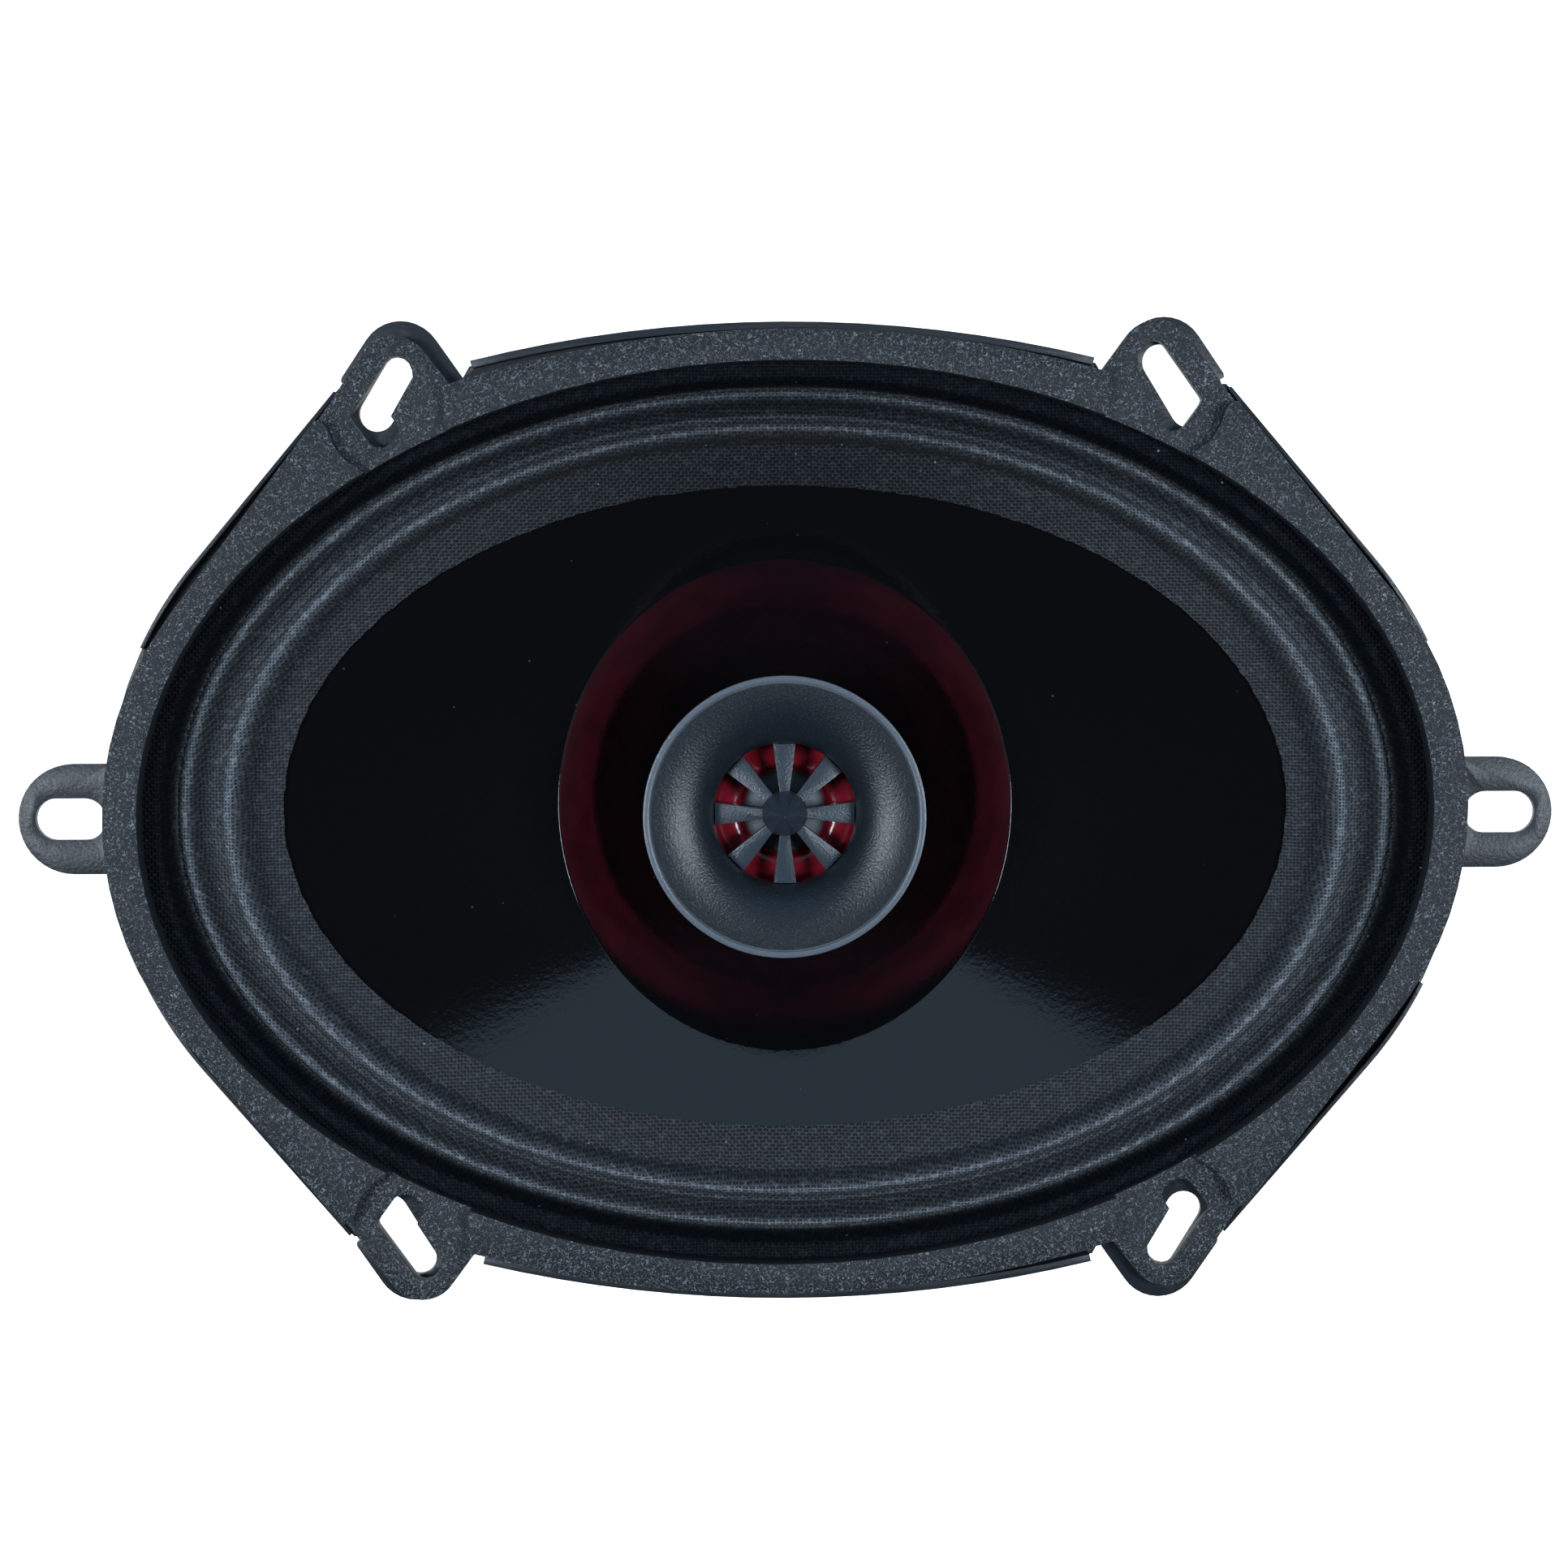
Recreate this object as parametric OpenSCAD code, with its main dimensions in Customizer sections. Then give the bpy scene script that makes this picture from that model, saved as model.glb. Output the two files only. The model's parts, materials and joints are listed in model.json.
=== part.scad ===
// Oval coaxial car speaker: a large woofer with a horn tweeter standing on a post in front of it.
// Millimetres. Z is the firing direction and Z = 0 is the rear face of the mounting flange.
// X runs along the long axis between the two end ears.

/* [Mounting flange] */
// Distance between the centres of the two end slots
end_slot_spacing = 219.2; // [214:0.2:224]
// Width of an end slot across its short way
end_slot_w = 6.4; // [4:0.1:8]
// Length of an end slot from end to end
end_slot_len = 10.8; // [8:0.1:12]
// Radius of the rounded end ear
end_ear_r = 8.5; // [7.5:0.1:10]
// Sheet thickness of the pressed steel flange
flange_t = 1.2; // [1:0.1:1.6]
// Half height of the flange at the middle of its long edge
rim_half_h = 74.8; // [74.6:0.1:76]
// Height of the folded stiffening lip above the rear face
lip_h = 3.4; // [2.4:0.1:4]
// Across and up position of the rounded tip of a corner ear
ear_tip = [57.7, 69.1]; // [50:80]
// Radius of the rounded tip of a corner ear
ear_tip_r = 6.3; // [5:0.1:7]
// Width of a corner slot
corner_slot_w = 5.4; // [4:0.1:5.8]
// Distance between the two end centres of a corner slot
corner_slot_run = 8.3; // [5:0.1:9]

/* [Trim ring] */
// Half width and half height of the trim ring
trim_half = [103.7, 73.5]; // [70:104]
// Half width and half height of the oval window in the trim ring
window_half = [98.5, 68.9]; // [60:99]
// Height of the raised band of the trim ring above the rear face of the flange
trim_top = 5.6; // [4:0.1:7]
// Height of the recessed corner pads above the rear face of the flange
pad_top = 3.6; // [2.8:0.1:3.8]
// Turn of the glued trim ring on the flange, in degrees
trim_twist = 0.9; // [0:0.1:1]

/* [Woofer] */
// Half width and half height of the cone edge
cone_half = [85, 57]; // [50:86]
// Height of the cone edge
cone_edge_z = -8.5; // [-9:0.1:-6]
// Height of the cone neck where it meets the coil former
cone_neck_z = -31; // [-32:0.1:-29]
// Radius and height where the steep inner part of the cone turns flatter
cone_knee = [38, -18]; // [-20:40]
// Wall thickness of the cone
cone_t = 0.8; // [0.5:0.1:1]
// Depth of the glued cloth band over the cone edge
cloth_band = 6.4; // [4:0.1:8]
// Inner radius of the voice coil former
former_r = 19; // [18.8:0.1:19.2]
// Wall thickness of the voice coil former
former_t = 0.4; // [0.3:0.1:0.6]
// Height of the voice coil winding
winding_h = 10; // [8:0.5:12]
// Thickness of the voice coil winding
winding_t = 0.7; // [0.4:0.1:0.8]

/* [Motor] */
// Depth from the rear face of the flange to the rear face of the motor
mounting_depth = 73; // [72:0.5:80]
// Radius of the ferrite ring magnet
magnet_r = 45; // [44:0.5:46]
// Thickness of the ferrite ring magnet
magnet_t = 15; // [14:0.5:16]
// Radius of the front and back steel plates
plate_r = 40; // [38:0.5:42]
// Thickness of the front steel plate
top_plate_t = 6; // [5:0.5:7]
// Thickness of the back steel plate
back_plate_t = 7; // [7:0.5:8]
// Clearance between the pole and the voice coil former
pole_gap = 0.6; // [0.4:0.05:1]
// Clearance between the voice coil winding and the front plate
plate_gap = 0.6; // [0.4:0.05:1]

/* [Tweeter] */
// Radius of the horn mouth
horn_r = 21.6; // [20.5:0.1:23]
// Height of the horn mouth
horn_z = 4.5; // [3:0.1:6]
// Radius of the horn throat
throat_r = 11; // [10:0.1:11.4]
// Depth from the horn mouth to the horn throat
horn_depth = 6.5; // [5:0.1:6.6]
// Number of spokes of the phase plug
spokes = 8; // [6:1:10]
// Radius of the phase plug hub
hub_r = 3.5; // [3:0.1:4]
// Outer radius of the tweeter housing
housing_r = 19.4; // [19:0.1:20]
// Height of the rear face of the tweeter housing
housing_rear_z = -19.5; // [-20:0.1:-19]
// Outer radius of the tweeter post
post_r = 4; // [3.6:0.1:4.2]

/* [Terminals] */
// Half distance between the two terminal tabs
tab_x = 8; // [7:0.5:9]
// Width of the positive spade tab
tab_w_positive = 6.3; // [6:0.1:6.4]
// Width of the negative spade tab
tab_w_negative = 4.8; // [4:0.1:5]

/* [Hidden] */
$fn = 64;
e = 0.01;

// Colours of the real materials
steel_black = [0.07, 0.08, 0.09];
moulding_black = [0.14, 0.15, 0.17];
cloth_black = [0.10, 0.11, 0.13];
gloss_black = [0.03, 0.035, 0.04];
horn_grey = [0.26, 0.30, 0.35];
glossy_red = [0.42, 0.04, 0.08];
zinc = [0.72, 0.73, 0.74];
ferrite = [0.17, 0.17, 0.18];
copper = [0.72, 0.40, 0.20];
fibre_brown = [0.42, 0.27, 0.13];

// Shapes of the flange and trim ring
end_arc_r = 52;                   // radius of the rounded ends of the trim ring
end_arc_half = 38.3;              // half angle of a rounded end of the trim ring
rim_end_r = 60;                   // radius of the rounded ends of the flange
rim_end_half = 40.3;              // half angle of a rounded end of the flange
long_arc_r = 172;                 // radius of the long edges of the trim ring
rim_arc_r = 200;                  // radius of the long edges of the flange
lip_t = 1.1;                      // thickness of the folded lip on a long edge
lip_half_l = 47;                  // half length of the lip on a long edge
slant_lip_t = 0.6;                // thickness of the lip on a slanted edge
slant_lip_from = 26;              // direction on the rounded end where that lip starts
rim_over = 0.3;                   // the flange ends reach this far past the trim ring
ear_root = trim_half.x - 4.6;     // where an end ear starts inside the flange
corner = [67.2, 65.2];            // where a slanted edge meets its corner ear
ear_flank = 33.5;                 // slope of the flanks of a corner ear from the vertical
slot_top = [57.2, 68.6];          // upper end centre of a corner slot
slot_slope = -58.8;               // direction of a corner slot
bowl_mouth = [96, 66.5];          // half size of the bowl at the flange
bowl_t = 1.2;                     // wall thickness of the bowl
flange_window = bowl_mouth + [0.5, 0.5];
ledge_z = -14;                    // top of the ledge round the floor of the tub
ledge_half = [86, 57.5];          // half size of the hole inside the ledge
leg_w = 20;                       // width of the legs between tub and cup
end_leg_w = 26;                   // width of the two legs on the long axis
leg_angles = [33, 69, 111, 147, 213, 249, 291, 327];
pad_tip_r = 5.6;                  // radius of the rounded tip of a corner pad
pad_tip = ear_tip + [-0.2, -0.8];
glue_line = 0.15;                 // gap filled by glue between formed parts
cloth_t = 0.6;                    // thickness of the surround as a plain solid

// Heights down the woofer
landing_z = -35;                  // glued ring of the spider on the basket
landing_r = 52;                   // outer radius of that ring
bottom_z = -mounting_depth + back_plate_t + magnet_t + top_plate_t + flange_t;
bottom_r = 43;                    // radius of the basket floor
top_plate_z = bottom_z - flange_t - top_plate_t;
back_plate_z = -mounting_depth;
magnet_z = back_plate_z + back_plate_t;
pole_z = bottom_z - 0.2;          // front face of the pole
coil_mid_z = top_plate_z + top_plate_t / 2;
coil_r = former_r + former_t;     // outer radius of the former
pole_r = former_r - pole_gap;
gap_r = coil_r + winding_t + plate_gap;
former_rear_z = coil_mid_z - winding_h / 2 - 1;
former_front_z = cone_neck_z + 1;
spider_z = landing_z;
recess_r = 8.2;                   // recess for the nut in the back plate
recess_d = 7;
channel_w = 4.6;                  // wire channel in the back plate
channel_d = 2.9;

// Heights down the tweeter
throat_z = horn_z - horn_depth;
plug_rear_z = throat_z - 3.2;
dome_z = plug_rear_z - 2.2;
dome_r = 6.45;
tweeter_coil_r = 6.6;
skirt_z = -8;
skirt_r = 20.2;
cup_r = 10;
cup_top_z = dome_z - 1.2;
cup_floor_z = cup_top_z - 4.5;
housing_top_z = plug_rear_z - e;
clear = 0.3;                      // least clearance between parts that move past each other

// Terminals
board_z = bottom_z;               // front face of the bracket that carries the board
bracket = [30, 60];               // width of the bracket and how far it reaches from the axis
rivet_r = 2.5;                    // rivets between basket and front plate
rivet_pitch_r = 31;
tab_rivet_r = 1.5;                // rivets through the terminal board
board = [28, 12, 1.4];
board_y = -53;
capacitor_r = 2.8;
capacitor_l = 13;

// Round outline helpers
function arc(c, r, from, to, n) =
    [for (i = [0:n]) c + r * [cos(from + (to - from) * i / n), sin(from + (to - from) * i / n)]];
function flip(p) = [for (i = [len(p) - 1:-1:0]) p[i]];
function four_ways(q) = concat(
    q,
    flip([for (p = q) [-p.x, p.y]]),
    [for (p = q) -p],
    flip([for (p = q) [p.x, -p.y]]));
function oval(half, n = 96) =
    [for (i = [0:n - 1]) [half.x * cos(360 * i / n), half.y * sin(360 * i / n)]];

// One quarter of an outline with rounded end, slanted edge and rounded long edge
function end_quarter(half_w, r) = arc([half_w - r, 0], r, 0, end_arc_half, 8);
function long_quarter(half_h, r, from_x) =
    arc([0, half_h - r], r, acos(from_x / r), 90, 8);
function ear_quarter(tip, r) = arc(tip, r, ear_flank, 180 - ear_flank, 10);

function slant_edge(inset, from) = concat(
    arc([trim_half.x + rim_over - rim_end_r, 0], rim_end_r - inset, from, rim_end_half, 8),
    [corner + [0.5, -0.4] - inset * [cos(rim_end_half), sin(rim_end_half)]]);

function flange_outline() = four_ways(concat(
    slant_edge(0, 0),
    [corner + [0, 0.1], corner + [-0.7, 0.1], corner + [-0.9, 0.7], corner + [-0.3, 1.1],
     corner + [-0.4, 1.7]],
    ear_quarter(ear_tip, ear_tip_r),
    [[lip_half_l + 1.4, 66.8]],
    long_quarter(rim_half_h - lip_t / 2, rim_arc_r - lip_t / 2, lip_half_l + 0.4)));

function trim_outline() = four_ways(concat(
    end_quarter(trim_half.x, end_arc_r),
    [corner + [0.1, -1.35], corner + [-0.9, 0.2]],
    ear_quarter(pad_tip, pad_tip_r),
    long_quarter(trim_half.y, long_arc_r, 49)));

function band_outline() = four_ways(concat(
    end_quarter(trim_half.x, end_arc_r),
    [corner + [0.1, -1.35], [60, 68]],
    long_quarter(trim_half.y, long_arc_r, 49)));

// Radius of an oval in a given direction
function oval_r(half, a) =
    half.x * half.y / sqrt(pow(half.y * cos(a), 2) + pow(half.x * sin(a), 2));
function oval_point(half, a, z) = [oval_r(half, a) * cos(a), oval_r(half, a) * sin(a), z];

// Height of the cone front at a place given by its direction and radius
function cone_height(a, r) = r < cone_knee.x
    ? cone_neck_z + (cone_knee.y - cone_neck_z) * (r - coil_r) / (cone_knee.x - coil_r)
    : cone_knee.y + (cone_edge_z - cone_knee.y) * (r - cone_knee.x)
        / (oval_r(cone_half, a) - cone_knee.x);

// Closed ring shell lofted through stacked rings of n points; the last ring joins the first
module ring_shell(rings, n) {
    m = len(rings);
    pts = [for (r = rings) each r];
    tris = [for (j = [0:m - 1]) for (i = [0:n - 1])
        let (a = j * n + i, b = j * n + (i + 1) % n,
             c = ((j + 1) % m) * n + (i + 1) % n, d = ((j + 1) % m) * n + i)
        each [[a, b, c], [a, c, d]]];
    polyhedron(points = pts, faces = tris, convexity = 6);
}

// Round wire swept along a list of points
module wire(path, r, sides = 8) {
    n = len(path);
    function dir(i) = let (d = path[min(i + 1, n - 1)] - path[max(i - 1, 0)]) d / norm(d);
    function side(i) = let (s = cross(dir(i), [1, 0, 0])) s / norm(s);
    pts = [for (i = [0:n - 1]) let (u = side(i), v = cross(dir(i), u))
        for (k = [0:sides - 1])
            path[i] + r * (u * cos(360 * k / sides) + v * sin(360 * k / sides))];
    walls = [for (i = [0:n - 2]) for (k = [0:sides - 1])
        let (a = i * sides + k, b = i * sides + (k + 1) % sides)
        each [[a, a + sides, b + sides], [a, b + sides, b]]];
    caps = [[for (k = [0:sides - 1]) k], [for (k = [sides - 1:-1:0]) (n - 1) * sides + k]];
    polyhedron(points = pts, faces = concat(walls, caps), convexity = 8);
}

// Smooth curve through hand placed points
function curve_point(p, i, t) = let (
    a = p[max(i - 1, 0)], b = p[i], c = p[i + 1], d = p[min(i + 2, len(p) - 1)])
    0.5 * (2 * b + (c - a) * t + (2 * a - 5 * b + 4 * c - d) * t * t
        + (3 * b - a - 3 * c + d) * t * t * t);
function smooth(p, k = 4) = concat(
    [for (i = [0:len(p) - 2]) for (j = [0:k - 1]) curve_point(p, i, j / k)], [p[len(p) - 1]]);

module slot(len, w) {
    square([len - w, w], center = true);
    translate([-(len - w) / 2, 0]) circle(d = w);
    translate([(len - w) / 2, 0]) circle(d = w);
}

module in_all_corners() {
    for (sx = [0, 1]) for (sy = [0, 1])
        mirror([sx, 0, 0]) mirror([0, sy, 0]) children();
}

module corner_slot(w = corner_slot_w, run = corner_slot_run) {
    translate(slot_top) rotate(slot_slope) {
        translate([0, -w / 2]) square([run, w]);
        circle(d = w);
        translate([run, 0]) circle(d = w);
    }
}

// Flat steel flange with its six fixing slots
module flange_plate() {
    linear_extrude(flange_t) difference() {
        union() {
            polygon(flange_outline());
            for (s = [-1, 1]) {
                translate([s * (end_slot_spacing / 2 - 0.5), 0]) circle(r = end_ear_r);
                translate([s * (end_slot_spacing / 2 - 0.5 + ear_root) / 2, 0])
                    square([end_slot_spacing / 2 - 0.5 - ear_root, 2 * end_ear_r], center = true);
            }
        }
        polygon(oval(flange_window));
        for (s = [-1, 1])
            translate([s * end_slot_spacing / 2, 0]) slot(end_slot_len, end_slot_w);
        in_all_corners() corner_slot();
    }
}

// Folded lip along the long edges and the slanted edges
module flange_lip() {
    c = [0, rim_half_h - rim_arc_r];
    half_a = asin(lip_half_l / rim_arc_r);
    outer = concat(arc(c, rim_arc_r, 90 - half_a, 90 + half_a, 16),
        arc(c, rim_arc_r - lip_t, 90 + half_a, 90 - half_a, 16));
    for (m = [0, 1]) mirror([0, m, 0]) linear_extrude(lip_h) polygon(outer);
    in_all_corners() linear_extrude(lip_h - 0.6)
        polygon(concat(slant_edge(0, slant_lip_from), flip(slant_edge(slant_lip_t, slant_lip_from))));
}

// Deep drawn oval tub behind the flange, with a ledge round its floor
module oval_tub() {
    outer = bowl_mouth + [bowl_t, bowl_t];
    translate([0, 0, ledge_z]) linear_extrude(flange_t - 0.2 - ledge_z) difference() {
        polygon(oval(outer));
        polygon(oval(bowl_mouth));
    }
    translate([0, 0, ledge_z - bowl_t]) linear_extrude(bowl_t) difference() {
        polygon(oval(outer));
        polygon(oval(ledge_half));
    }
}

// One sloping leg from the tub down to the round cup, in a given direction
module leg(a, w) {
    r_low = landing_r + bowl_t / 2;
    z_low = landing_z + 1.4;
    rise = ledge_z - bowl_t / 2 - z_low;
    out = oval_r(ledge_half, a) + 1.6 - r_low;
    over = 0.7;
    rotate(a) translate([r_low, 0, z_low]) rotate([0, -atan2(rise, out), 0])
        translate([-over, -w / 2, -bowl_t / 2])
            cube([norm([rise, out]) + 2 * over, w, bowl_t]);
}

// Round cup that carries the spider and the motor
module lower_cup() difference() {
    union() {
        rotate_extrude() polygon([
            [gap_r + 0.6, bottom_z - flange_t], [bottom_r + bowl_t, bottom_z - flange_t],
            [bottom_r + bowl_t, landing_z - bowl_t], [landing_r + bowl_t, landing_z - bowl_t],
            [landing_r + bowl_t, landing_z + 3], [landing_r, landing_z + 3],
            [landing_r, landing_z], [bottom_r, landing_z],
            [bottom_r, bottom_z], [gap_r + 0.6, bottom_z]]);
        translate([-bracket.x / 2, -bracket.y, bottom_z - flange_t])
            cube([bracket.x, bracket.y - gap_r - 4, flange_t]);
    }
    translate([0, 0, bottom_z - 5]) {
        for (a = [45:90:315]) rotate(a) translate([rivet_pitch_r, 0]) cylinder(h = 9, r = rivet_r);
        for (s = [-1, 1]) translate([s * tab_x, board_y]) cylinder(h = 9, r = tab_rivet_r);
    }
}

module basket() color(steel_black) {
    flange_plate();
    flange_lip();
    oval_tub();
    for (a = leg_angles) leg(a, leg_w);
    for (a = [0, 180]) leg(a, end_leg_w);
    lower_cup();
}

// Kinked hole through a corner pad, over the slot in the flange
module pad_hole() {
    polygon([[54.6, 67.7], [54.7, 68.7], [55.1, 69.7], [56, 70.5], [57.1, 70.8], [58, 70.6],
             [58.7, 70], [64, 62.3], [64.2, 61.8], [63.9, 61.1], [61.4, 57.8], [60.8, 57.4],
             [59.4, 57.2], [58, 57.9], [57.2, 58.8], [56.9, 59.6], [57.1, 60.4], [58.1, 61.9]]);
}

// Quarter recess that separates the raised bands at a corner pad
module corner_recess() {
    polygon([[47.4, 90], [47.4, 67.5], [49.3, 67.1], [50, 66.4], [50.1, 65.6], [49.7, 63.8],
             [49.8, 62.2], [50.1, 60.6], [49.8, 59.8], [49.2, 59.4], [49, 55], [58, 50],
             [62.2, 53.5], [63.2, 54.3], [64.9, 55.5], [66, 56.8], [66.8, 58.2], [67.1, 59.4],
             [67.5, 60.3], [68.2, 61], [69.2, 61.3], [80, 70], [80, 90]]);
}

module trim_ring() color(moulding_black)
    rotate(trim_twist) translate([0, 0, flange_t]) difference() {
        union() {
            linear_extrude(pad_top - flange_t) polygon(trim_outline());
            linear_extrude(trim_top - flange_t) difference() {
                polygon(band_outline());
                in_all_corners() corner_recess();
            }
        }
        translate([0, 0, -1]) linear_extrude(20) polygon(oval(window_half));
        // seat for the glued rim of the surround
        translate([0, 0, -1]) linear_extrude(1 + cloth_t + glue_line)
            polygon(oval(window_half + [1.6, 1.6]));
        translate([0, 0, -1]) linear_extrude(20) in_all_corners() pad_hole();
    }

// Doubled roll cloth surround, as a plain closed solid
module surround() {
    n = 72;
    rim = window_half + [1, 1];
    squeeze = (rim.y - cone_half.y + cloth_band) / (rim.x - cone_half.x + cloth_band);
    top = [[0, flange_t + cloth_t], [4.1, flange_t + cloth_t], [5, -2.6], [5.8, -4.4],
           [7.4, -2.6], [9.2, -4.8], [11.2, -4.6], [13.4, -2.6], [15, -5.6]];
    function edge(s, z) = [for (i = [0:n - 1])
        oval_point([rim.x - s, rim.y - s * squeeze], 360 * i / n, z)];
    function on_cone(s, lift) = [for (i = [0:n - 1])
        let (a = 360 * i / n, r = oval_r([rim.x - s, rim.y - s * squeeze], a))
        [r * cos(a), r * sin(a), cone_height(a, r) + lift]];
    band_in = rim.x - cone_half.x + cloth_band - 0.6;
    band_out = rim.x - cone_half.x + 0.6;
    color(cloth_black) ring_shell(concat(
        [for (p = top) edge(p[0], p[1])],
        [on_cone(band_out + 1.4, glue_line + cloth_t), on_cone(band_in, glue_line + cloth_t),
         on_cone(band_in, glue_line), on_cone(band_out + 1.4, glue_line)],
        [for (i = [len(top) - 1:-1:0])
            edge(top[i][0] - (i > 1 && i < 4 ? 0.4 : 0), top[i][1] - cloth_t)]), n);
}

module cone() {
    n = 72;
    function reach(a, k) = k == 0 ? coil_r + 0.1
        : cone_knee.x + (oval_r(cone_half, a) - cone_knee.x) * (k - 1) / 2;
    function ring(k, drop) = [for (i = [0:n - 1])
        let (a = 360 * i / n, r = reach(a, k))
        [r * cos(a), r * sin(a), cone_height(a, r) - drop]];
    color(gloss_black) ring_shell(concat(
        [for (k = [3:-1:0]) ring(k, 0)],
        [for (k = [0:3]) ring(k, cone_t)]), n);
}

module voice_coil_former() color(fibre_brown)
    translate([0, 0, former_rear_z]) difference() {
        cylinder(h = former_front_z - former_rear_z, r = coil_r);
        translate([0, 0, -1]) cylinder(h = 100, r = former_r);
    }

module voice_coil_winding() color(copper)
    translate([0, 0, coil_mid_z - winding_h / 2]) difference() {
        cylinder(h = winding_h, r = coil_r + winding_t);
        translate([0, 0, -1]) cylinder(h = 100, r = coil_r);
    }

// Corrugated centring disc between the basket landing and the coil former
module spider() color(fibre_brown) {
    waves = 5;
    first = coil_r + 3;
    last = 45;
    t = 0.7;
    crest = 1.1;
    line = concat([[coil_r, 0.9]],
        [for (i = [0:waves * 4]) let (u = i / (waves * 4))
            [first + (last - first) * u, 0.9 + crest * sin(u * waves * 360) * (1 - 0.3 * u)]],
        [[46, 0], [landing_r - 1, 0]]);
    translate([0, 0, spider_z]) rotate_extrude()
        polygon(concat(line, [for (i = [len(line) - 1:-1:0]) line[i] + [0, t]]));
}

module top_plate() color(zinc)
    translate([0, 0, top_plate_z]) difference() {
        cylinder(h = top_plate_t, r = plate_r);
        translate([0, 0, -1]) cylinder(h = 20, r = gap_r);
        for (a = [45:90:315]) rotate(a) translate([rivet_pitch_r, 0, -1])
            cylinder(h = 20, r = rivet_r);
    }

module magnet() color(ferrite)
    translate([0, 0, magnet_z]) difference() {
        cylinder(h = magnet_t, r = magnet_r);
        translate([0, 0, -1]) cylinder(h = 40, r = gap_r + 2);
    }

// Back plate and pole in one forging, with a nut recess and a wire channel behind
module back_yoke() color(zinc) difference() {
    union() {
        translate([0, 0, back_plate_z]) cylinder(h = back_plate_t, r = plate_r);
        translate([0, 0, back_plate_z]) cylinder(h = pole_z - back_plate_z, r = pole_r);
    }
    translate([0, 0, back_plate_z - 1]) cylinder(h = 60, r = post_r + 0.3);
    translate([0, 0, back_plate_z - 1]) cylinder(h = 1 + recess_d, r = recess_r);
    translate([-channel_w / 2, -plate_r - 1, back_plate_z - 1])
        cube([channel_w, plate_r + 1, 1 + channel_d]);
}

// Four rivets through the basket floor into the front plate
module basket_rivets() color(zinc)
    for (a = [45:90:315]) rotate(a) translate([rivet_pitch_r, 0, 0]) {
        translate([0, 0, top_plate_z]) cylinder(h = bottom_z - top_plate_z, r = rivet_r);
        translate([0, 0, bottom_z]) cylinder(h = 1, r = 4);
    }

// Hollow post that carries the tweeter in front of the pole
module tweeter_post() color(zinc) difference() {
    union() {
        translate([0, 0, back_plate_z + 3.2])
            cylinder(h = cup_floor_z - 2.2 - back_plate_z - 3.2, r = post_r);
        translate([0, 0, pole_z]) cylinder(h = 3, r = 8);
    }
    translate([0, 0, back_plate_z - 1]) cylinder(h = 100, r = post_r - 1.4);
}

module post_washer() color(zinc)
    translate([0, 0, back_plate_z + recess_d - 0.8]) difference() {
        cylinder(h = 0.8, r = recess_r - 0.8);
        translate([0, 0, -1]) cylinder(h = 3, r = post_r + 0.2);
    }

module post_nut() color(zinc)
    translate([0, 0, back_plate_z + recess_d - 3.8]) difference() {
        cylinder(h = 3, r = recess_r - 1, $fn = 6);
        translate([0, 0, -1]) cylinder(h = 6, r = post_r);
    }

// Red cup that holds the tweeter motor and plugs into the horn skirt
module tweeter_housing() color(glossy_red) rotate_extrude() polygon([
    [post_r, housing_rear_z], [housing_r - 2, housing_rear_z],
    [housing_r, housing_rear_z + 2], [housing_r, skirt_z - 0.2],
    [skirt_r - 1.6, skirt_z - 0.2], [skirt_r - 1.6, housing_top_z],
    [13.4, housing_top_z], [13.4, cup_top_z], [cup_r + 0.1, cup_top_z],
    [cup_r + 0.1, cup_floor_z - 2], [post_r, cup_floor_z - 2]]);

module tweeter_yoke() color(zinc) rotate_extrude() polygon([
    [0, cup_floor_z - 2], [cup_r, cup_floor_z - 2], [cup_r, cup_top_z],
    [tweeter_coil_r + 1, cup_top_z], [tweeter_coil_r + 1, cup_floor_z], [0, cup_floor_z]]);

module tweeter_magnet() color(ferrite)
    translate([0, 0, cup_floor_z]) cylinder(h = 3, r = tweeter_coil_r - 1);

module tweeter_top_plate() color(zinc)
    translate([0, 0, cup_floor_z + 3]) cylinder(h = 1.5, r = tweeter_coil_r - 0.5);

// Annular red film around the dome
module tweeter_diaphragm() color(glossy_red) {
    mid = 9.4;
    half_w = 2.5;
    rise = 1;
    t = 0.3;
    roll = [for (i = [0:8]) [mid - half_w * cos(22.5 * i), dome_z + rise * sin(22.5 * i)]];
    line = concat([[dome_r, dome_z]], roll, [[12.8, dome_z]]);
    rotate_extrude()
        polygon(concat(line, [for (i = [len(line) - 1:-1:0]) line[i] - [0, t]]));
}

// Dark fabric dome bonded to the middle of the diaphragm
module tweeter_dome() color(cloth_black) {
    rise = 1.5;
    t = 0.3;
    line = [for (i = [0:6]) [dome_r * i / 6, dome_z + rise * cos(15 * i)]];
    rotate_extrude()
        polygon(concat(line, [for (i = [6:-1:0]) line[i] - [0, t]]));
}

module tweeter_voice_coil() color(copper)
    translate([0, 0, dome_z - 3.5]) difference() {
        cylinder(h = 3.5 - 0.3, r = tweeter_coil_r + 0.4);
        translate([0, 0, -1]) cylinder(h = 6, r = tweeter_coil_r);
    }

// Flared horn with a flat lip and a skirt over the housing
module horn() color(horn_grey) {
    lip = 1;
    flare = [for (i = [0:10]) let (a = 9 * i)
        [throat_r + (horn_r - lip - throat_r) * (1 - cos(a)),
         throat_z + (horn_depth - 0.4) * sin(a)]];
    rotate_extrude() polygon(concat(flare, [
        [horn_r - lip, horn_z], [horn_r, horn_z], [horn_r, horn_z - 1.2],
        [skirt_r + 0.3, horn_z - 2.4], [skirt_r, skirt_z], [skirt_r - 1.4, skirt_z],
        [skirt_r - 1.4, throat_z - 1.6], [throat_r, throat_z - 1.6]]));
}

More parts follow.
